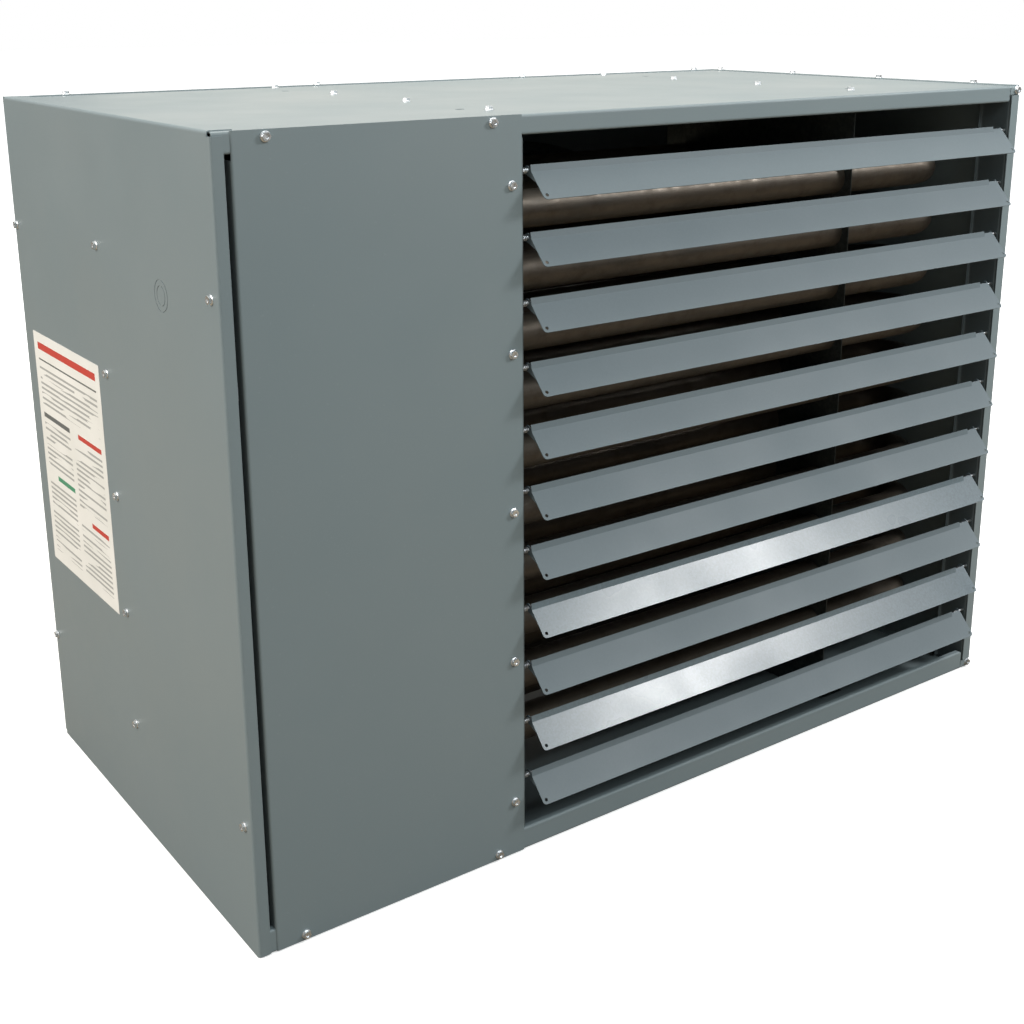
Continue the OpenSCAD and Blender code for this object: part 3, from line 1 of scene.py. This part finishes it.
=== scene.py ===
"""Looks of the gas unit heater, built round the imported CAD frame. Metres, +Z up, louvres towards -Y.

Every visible form is a CAD piece. This script gives the pieces their materials, and adds a floor, lamps,
a white world and the camera that was fitted to the photograph.
"""

import bpy
from mathutils import Matrix, Vector


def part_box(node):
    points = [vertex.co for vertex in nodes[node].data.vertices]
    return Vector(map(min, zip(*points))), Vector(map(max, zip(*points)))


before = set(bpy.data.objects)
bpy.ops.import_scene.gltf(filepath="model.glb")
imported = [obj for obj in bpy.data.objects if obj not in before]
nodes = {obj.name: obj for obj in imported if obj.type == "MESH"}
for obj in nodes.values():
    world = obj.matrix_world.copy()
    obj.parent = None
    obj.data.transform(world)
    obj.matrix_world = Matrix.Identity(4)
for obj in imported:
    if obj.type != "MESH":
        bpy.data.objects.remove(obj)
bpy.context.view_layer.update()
scene = bpy.context.scene
scene.view_settings.view_transform = "Standard"

NOISE_RANGE = (0.3, 0.7)  # where nearly all of a noise texture's values lie
COAT_ROUGHNESS = 0.45  # dull enough that the clear coat shows no sharp picture of a lamp


def srgb(r, g, b):
    """A colour given as 0-255 screen values, as linear light by the sRGB curve."""
    out = []
    for v in (r, g, b):
        v /= 255
        out.append(v / 12.92 if v <= 0.04045 else ((v + 0.055) / 1.055) ** 2.4)
    return (*out, 1.0)


class Mat:
    """A node material: one Principled shader with procedural colour, roughness and bump."""

    def __init__(self, name, rough=0.5, metal=0.0, spec=0.5, coat=0.0):
        self.material = bpy.data.materials.new(name)
        self.material.use_nodes = True
        self.links = self.material.node_tree.links
        self.nodes = self.material.node_tree.nodes
        self.shader = self.nodes["Principled BSDF"]
        self.shader.inputs["Roughness"].default_value = rough
        self.shader.inputs["Metallic"].default_value = metal
        self.shader.inputs["Specular IOR Level"].default_value = spec
        self.shader.inputs["Coat Weight"].default_value = coat
        self.shader.inputs["Coat Roughness"].default_value = COAT_ROUGHNESS
        self.coord = self.nodes.new("ShaderNodeTexCoord").outputs["Object"]

    def feed(self, socket, value):
        """Link an input to another socket, or set it to a plain value."""
        if isinstance(value, bpy.types.NodeSocket):
            self.links.new(value, socket)
        else:
            socket.default_value = value

    def mapped(self, scale):
        """Object coordinates, stretched by a factor on each axis."""
        n = self.nodes.new("ShaderNodeMapping")
        n.inputs["Scale"].default_value = scale
        self.feed(n.inputs["Vector"], self.coord)
        return n.outputs["Vector"]

    def noise(self, scale, detail, grit, vector=None):
        """A noise pattern: its waves per metre, its octaves, and how strong the fine ones are."""
        n = self.nodes.new("ShaderNodeTexNoise")
        n.inputs["Scale"].default_value = scale
        n.inputs["Detail"].default_value = detail
        n.inputs["Roughness"].default_value = grit
        self.feed(n.inputs["Vector"], vector or self.coord)
        return n.outputs["Fac"]

    def cells(self, scale):
        """A random colour for each cell of a Voronoi pattern."""
        n = self.nodes.new("ShaderNodeTexVoronoi")
        n.inputs["Scale"].default_value = scale
        self.feed(n.inputs["Vector"], self.coord)
        return n.outputs["Color"]

    def ramp(self, fac, stops):
        """A colour ramp. Each stop is a place and a colour, or a place and a grey level."""
        n = self.nodes.new("ShaderNodeValToRGB")
        elements = n.color_ramp.elements
        while len(elements) < len(stops):
            elements.new(0.5)
        for element, (place, tone) in zip(elements, stops):
            element.position = place
            element.color = (tone, tone, tone, 1) if isinstance(tone, (int, float)) else tone
        self.feed(n.inputs["Fac"], fac)
        return n.outputs["Color"]

    def mix(self, fac, a, b, kind="MIX"):
        n = self.nodes.new("ShaderNodeMix")
        n.data_type = "RGBA"
        n.blend_type = kind
        for socket, value in ((n.inputs["Factor"], fac), (n.inputs["A"], a), (n.inputs["B"], b)):
            self.feed(socket, value)
        return [o for o in n.outputs if o.type == "RGBA"][0]

    def math(self, operation, a, b=0.5):
        n = self.nodes.new("ShaderNodeMath")
        n.operation = operation
        self.feed(n.inputs[0], a)
        self.feed(n.inputs[1], b)
        return n.outputs[0]

    def axis(self, which):
        """One of the three object coordinates."""
        n = self.nodes.new("ShaderNodeSeparateXYZ")
        self.feed(n.inputs[0], self.coord)
        return n.outputs[which]

    def span(self, value, low, high, out_low=0.0, out_high=1.0):
        """A value from one range, carried over to another."""
        n = self.nodes.new("ShaderNodeMapRange")
        n.inputs["From Min"].default_value = low
        n.inputs["From Max"].default_value = high
        n.inputs["To Min"].default_value = out_low
        n.inputs["To Max"].default_value = out_high
        self.feed(n.inputs["Value"], value)
        return n.outputs["Result"]

    def colour(self, value):
        self.feed(self.shader.inputs["Base Color"], value)

    def uneven(self, low, high, scale, detail, grit):
        """Roughness that wanders between two values, in patches of the noise that the last three describe."""
        patches = self.noise(scale, detail, grit)
        self.feed(self.shader.inputs["Roughness"], self.span(patches, *NOISE_RANGE, low, high))

    def bump(self, height, strength, distance):
        """Fine relief, the last step: gives back the finished material."""
        n = self.nodes.new("ShaderNodeBump")
        n.inputs["Strength"].default_value = strength
        n.inputs["Distance"].default_value = distance
        self.feed(n.inputs["Height"], height)
        self.feed(self.shader.inputs["Normal"], n.outputs["Normal"])
        return self.material


def paint(name, base, dusty, rough=0.42, spangle=0.0):
    """Sheet steel with satin powder paint: orange peel, faint clouding, pale dust, and flakes if asked."""
    m = Mat(name, rough, coat=0.06)
    cloud = m.noise(2.2, 4, 0.6)
    col = m.mix(m.span(cloud, 0.35, 0.7), base, dusty)
    speck = m.ramp(m.noise(260, 2, 0.5), [(0.68, 0.0), (0.76, 0.16)])
    speck_lift = 1.35
    col = m.mix(speck, col, [min(1, c * speck_lift) for c in dusty[:3]] + [1])
    if spangle:
        flakes = m.ramp(m.cells(420), [(0.2, 0.72), (0.8, 1.3)])
        col = m.mix(spangle, col, m.mix(1.0, col, flakes, "MULTIPLY"))
    m.colour(col)
    m.uneven(rough - 0.05, rough + 0.07, 6, 3, 0.5)
    return m.bump(m.noise(900, 2, 0.5), 0.12, 0.0004)


def plated(name, base, dark, rough, grain):
    """Zinc plated or galvanised steel: crystal patches and fine scratches."""
    m = Mat(name, rough, metal=1.0)
    col = m.mix(m.ramp(m.cells(grain), [(0.25, 0.0), (0.75, 1.0)]), base, dark)
    m.colour(m.mix(m.ramp(m.noise(60, 4, 0.6), [(0.45, 0.0), (0.8, 0.5)]), col, dark))
    m.uneven(rough - 0.06, rough + 0.14, 180, 3, 0.6)
    return m.bump(m.noise(1400, 2, 0.5), 0.06, 0.0003)


def tube_steel():
    """Aluminised tube, browned by heat in bands along its length."""
    m = Mat("tube_steel", 0.5, metal=0.6)
    along = m.mapped((1.5, 9, 9))
    bands = m.ramp(
        m.noise(3.2, 5, 0.6, along),
        [
            (0.3, srgb(80, 76, 70)),
            (0.5, srgb(104, 96, 86)),
            (0.68, srgb(88, 84, 78)),
            (0.85, srgb(128, 121, 110)),
        ],
    )
    soot = m.ramp(m.noise(40, 5, 0.7), [(0.5, 0.0), (0.75, 0.5)])
    m.colour(m.mix(soot, bands, srgb(64, 56, 48)))
    m.uneven(0.38, 0.65, 50, 4, 0.6)
    return m.bump(m.noise(300, 3, 0.6), 0.12, 0.0005)


def dark_metal(name, base, worn, rough=0.4):
    """Dark painted or oxidised steel, rubbed lighter in patches."""
    m = Mat(name, rough)
    m.colour(m.mix(m.ramp(m.noise(35, 5, 0.65), [(0.55, 0.0), (0.8, 0.7)]), base, worn))
    m.uneven(rough - 0.08, rough + 0.12, 20, 3, 0.5)
    return m.bump(m.noise(700, 3, 0.6), 0.18, 0.0005)


def cast(name, base, dark, rough=0.42):
    """Cast metal with a grainy skin."""
    m = Mat(name, rough, metal=0.9)
    m.colour(m.mix(m.span(m.noise(45, 6, 0.7), 0.35, 0.7), base, dark))
    m.uneven(rough - 0.1, rough + 0.15, 90, 4, 0.6)
    return m.bump(m.noise(420, 4, 0.65), 0.25, 0.0006)


def plastic(name, base, light, rough=0.45):
    """Moulded plastic, or glazed ceramic and board, with faint clouding."""
    m = Mat(name, rough)
    m.colour(m.mix(m.span(m.noise(25, 4, 0.5), 0.3, 0.8), base, light))
    return m.bump(m.noise(1100, 2, 0.5), 0.15, 0.0003)


# The label's print: rules in five blocks, and coloured bars. Blocks and bars are shares of the label's
# width and height: left, right, bottom, top.
RULE_COUNT = 46.0
RULE_SHARE = 0.42  # of the pitch from one rule to the next
RULE_BREAK = 0.42  # where the noise along a rule is lower, the rule has a gap
RULE_BLOCKS = [
    (0.06, 0.47, 0.05, 0.27),
    (0.53, 0.94, 0.05, 0.36),
    (0.06, 0.47, 0.34, 0.62),
    (0.53, 0.94, 0.43, 0.62),
    (0.06, 0.94, 0.69, 0.86),
]
RULE_GREY = srgb(158, 160, 158)
BAR_RED = srgb(186, 66, 56)
BAR_GREEN = srgb(70, 140, 108)
BAR_GREY = srgb(96, 100, 100)
BARS = [
    (BAR_RED, (0.06, 0.94, 0.93, 0.96)),
    (BAR_RED, (0.06, 0.40, 0.64, 0.66)),
    (BAR_GREEN, (0.53, 0.80, 0.385, 0.405)),
    (BAR_RED, (0.06, 0.30, 0.29, 0.31)),
    (BAR_GREY, (0.53, 0.94, 0.64, 0.66)),
    (BAR_GREY, (0.06, 0.94, 0.885, 0.892)),
]


def label_material():
    """Blank white film with grey rules and a few coloured bars, in a layout of its own, with no lettering."""
    lo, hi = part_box("side_label")
    m = Mat("label_film", 0.5, spec=0.4)
    y = m.span(m.axis(1), lo.y, hi.y)
    z = m.span(m.axis(2), lo.z, hi.z)

    def between(v, a, b):
        return m.math("MULTIPLY", m.math("GREATER_THAN", v, a), m.math("LESS_THAN", v, b))

    def block(left, right, bottom, top):
        return m.math("MULTIPLY", between(y, left, right), between(z, bottom, top))

    col = m.mix(m.span(m.noise(12, 3, 0.5), *NOISE_RANGE), srgb(226, 226, 222), srgb(216, 217, 212))
    rules = m.math("LESS_THAN", m.math("FRACT", m.math("MULTIPLY", z, RULE_COUNT)), RULE_SHARE)
    ragged = m.math("GREATER_THAN", m.noise(1.0, 0, 0, m.mapped((1, 14, 170))), RULE_BREAK)
    lines = m.math("MULTIPLY", rules, ragged)
    for place in RULE_BLOCKS:
        col = m.mix(m.math("MULTIPLY", lines, block(*place)), col, RULE_GREY)
    for tone, place in BARS:
        col = m.mix(block(*place), col, tone)
    m.colour(col)
    m.uneven(0.42, 0.58, 40, 3, 0.5)
    return m.bump(m.noise(500, 2, 0.5), 0.05, 0.0002)


# The eighth and tenth blade carry glossier paint, because the photograph shows a lamp mirrored in them
glossy_blades = ["louver_blade_8", "louver_blade_10"]
plain_blades = [n for n in nodes if n.startswith("louver_blade_") and n not in glossy_blades]

DRESS = [
    (
        paint("cabinet_paint", srgb(116, 129, 133), srgb(121, 132, 135)),
        "left_side_panel right_side_panel top_panel bottom_panel rear_panel rear_service_panel access_panel",
    ),
    (
        paint("blade_paint", srgb(92, 104, 109), srgb(97, 108, 113), rough=0.62, spangle=0.05),
        " ".join(plain_blades),
    ),
    (
        paint("glossy_blade_paint", srgb(94, 107, 113), srgb(99, 111, 117), rough=0.29, spangle=0.3),
        " ".join(glossy_blades),
    ),
    # A darker copy of the cabinet paint for the rails, stiffeners and partition inside the cabinet: painted
    # shade, where the cabinet's shadow falls
    (
        paint("shaded_inner_paint", srgb(84, 94, 97), srgb(90, 99, 101), rough=0.5),
        "partition_panel corner_angle side_stiffener hanger_rail louver_rail_left louver_rail_right",
    ),
    (plated("zinc_plate", srgb(232, 236, 240), srgb(196, 202, 208), 0.2, 900), "hanger_nuts fan_shaft"),
    # Galvanised steel for the parts inside the cabinet, darkened well below the bright zinc of the collars:
    # painted shade, where the cabinet's shadow falls
    (
        plated("galvanised_sheet", srgb(104, 112, 114), srgb(90, 98, 100), 0.55, 240),
        "tube_support flue_collector burners burner_bracket manifold_bracket junction_box inducer_wheel "
        "venturi_ring",
    ),
    (
        plated("duct_zinc", srgb(196, 202, 204), srgb(172, 178, 182), 0.45, 160),
        "vent_collar air_intake_collar",
    ),
    (
        plated("bright_steel", srgb(240, 242, 244), srgb(222, 226, 230), 0.3, 60),
        "louver_pins louver_springs cabinet_screws",
    ),
    (tube_steel(), "heat_exchanger_tubes"),
    (
        dark_metal("black_steel", srgb(44, 47, 49), srgb(70, 74, 76)),
        "transformer inducer_housing fan_motor motor_bracket",
    ),
    (dark_metal("black_pipe", srgb(34, 34, 36), srgb(66, 60, 54), 0.5), "gas_manifold gas_supply_pipe"),
    (dark_metal("guard_wire", srgb(58, 62, 64), srgb(88, 92, 94), 0.45), "fan_guard"),
    (cast("cast_aluminium", srgb(186, 188, 188), srgb(150, 152, 152)), "gas_valve fan_blade"),
    (cast("brass", srgb(200, 168, 92), srgb(150, 118, 60), 0.3), "burner_orifices"),
    (
        plastic("black_plastic", srgb(28, 28, 30), srgb(44, 44, 46)),
        "pressure_switch limit_switch rollout_switch inducer_motor",
    ),
    (
        plastic("red_plastic", srgb(178, 34, 26), srgb(198, 52, 40), 0.3),
        "gas_valve_knob rollout_reset_button",
    ),
    (plastic("ceramic", srgb(226, 220, 205), srgb(206, 198, 180), 0.35), "igniter flame_sensor"),
    (plastic("circuit_board", srgb(30, 84, 54), srgb(44, 110, 70), 0.35), "ignition_board"),
    (label_material(), "side_label"),
]
for material, names in DRESS:
    for name in names.split():
        slots = nodes[name].data.materials
        slots.clear()
        slots.append(material)

# The camera that was fitted to the photograph: its place, and where the picture's right and down point
EYE = (-1.1536, -1.5667, 1.0033)
right = Vector((0.80906, -0.58772, -0.00214)).normalized()
down = Vector((-0.16270, -0.21979, -0.96188))
down = (down - right * down.dot(right)).normalized()
ahead = right.cross(down)
cam = bpy.data.objects.new("camera", bpy.data.cameras.new("camera"))
scene.collection.objects.link(cam)
rows = [(right[i], -down[i], -ahead[i], EYE[i]) for i in range(3)]
cam.matrix_world = Matrix(rows + [(0, 0, 0, 1)])
cam.data.sensor_width = 36
cam.data.lens = 50.34
cam.data.shift_x = -0.0164
cam.data.shift_y = -0.1016
cam.data.clip_start = 0.05
scene.camera = cam

FLOOR_REACH = 30
FLOOR_DROP = 0.0006  # under the cabinet's base, so that no two faces lie in one plane
FLOOR_SEEN = (0.86, 0.86, 0.86, 1)
FLOOR_BOUNCE = (0.2, 0.165, 0.12, 1)
GLOW_NEAR, GLOW_FAR = (0.9, 0.4), (3.2, 1.0)  # distance from the middle, and strength there


def floor():
    r = FLOOR_REACH
    mesh = bpy.data.meshes.new("floor")
    mesh.from_pydata([(-r, -r, 0), (r, -r, 0), (r, r, 0), (-r, r, 0)], [], [(0, 1, 2, 3)])
    o = bpy.data.objects.new("floor", mesh)
    scene.collection.objects.link(o)
    o.location.z = -FLOOR_DROP
    m = Mat("floor", rough=0.9, spec=0.1)
    m.shader.inputs["Emission Color"].default_value = (1, 1, 1, 1)
    path = m.nodes.new("ShaderNodeLightPath")

    # White where the camera sees it, darker in what it throws back on the cabinet
    base = m.nodes.new("ShaderNodeMixRGB")
    base.inputs["Color1"].default_value = FLOOR_BOUNCE
    base.inputs["Color2"].default_value = FLOOR_SEEN
    m.feed(base.inputs["Fac"], path.outputs["Is Camera Ray"])
    m.colour(base.outputs["Color"])

    # The glow rises with the distance, so that the far floor meets the white background
    distance = m.nodes.new("ShaderNodeVectorMath")
    distance.operation = "LENGTH"
    m.feed(distance.inputs[0], m.coord)
    rise = m.span(distance.outputs["Value"], GLOW_NEAR[0], GLOW_FAR[0], GLOW_NEAR[1], GLOW_FAR[1])
    glow = m.math("MULTIPLY", path.outputs["Is Camera Ray"], rise)
    m.feed(m.shader.inputs["Emission Strength"], glow)
    mesh.materials.append(m.material)


floor()

# Name, place, the point it looks at, width and height, watts, colour. The small one is the lamp that the
# two glossy blades mirror.
LAMPS = [
    ("overhead", (0.2, 0.9, 4.2), (0, 0.1, 0.9), (3.2, 3.2), 150, (1, 0.965, 0.89)),
    ("left", (-4.2, 0.4, 2.6), (-0.6, 0, 0.5), (2.2, 2.2), 196, (1, 0.955, 0.9)),
    ("front", (0.0, -3.9, 3.5), (0.1, -0.3, 0.9), (2.6, 1.4), 94, (0.9, 0.985, 1)),
    ("spark", (1.88, -1.72, 2.1), (0.05, -0.33, 0.25), (0.55, 0.45), 46, (1, 1, 1)),
    ("behind", (3.2, 4.4, 2.2), (0, 0, 0.9), (4.5, 2.2), 26, (1, 0.92, 0.78)),
]
for name, place, aim, size, watts, tint in LAMPS:
    data = bpy.data.lights.new(name, "AREA")
    data.shape = "RECTANGLE"
    data.size, data.size_y = size
    data.energy = watts
    data.color = tint
    o = bpy.data.objects.new(name, data)
    scene.collection.objects.link(o)
    o.location = place
    o.rotation_mode = "QUATERNION"
    o.rotation_quaternion = (Vector(aim) - Vector(place)).to_track_quat("-Z", "Y")

# The world is white for the camera and through glass, and dimmer where it lights the cabinet
WORLD_LIGHT, WORLD_SEEN = 0.36, 1.0
world = bpy.data.worlds.new("world")
scene.world = world
world.use_nodes = True
world_nodes, world_links = world.node_tree.nodes, world.node_tree.links
background = world_nodes["Background"]
background.inputs["Color"].default_value = (1, 1, 1, 1)
path = world_nodes.new("ShaderNodeLightPath")
seen = world_nodes.new("ShaderNodeMath")
seen.operation = "MAXIMUM"
world_links.new(path.outputs["Is Camera Ray"], seen.inputs[0])
world_links.new(path.outputs["Is Transmission Ray"], seen.inputs[1])
strength = world_nodes.new("ShaderNodeMapRange")
strength.inputs["To Min"].default_value = WORLD_LIGHT
strength.inputs["To Max"].default_value = WORLD_SEEN
world_links.new(seen.outputs[0], strength.inputs["Value"])
world_links.new(strength.outputs["Result"], background.inputs["Strength"])
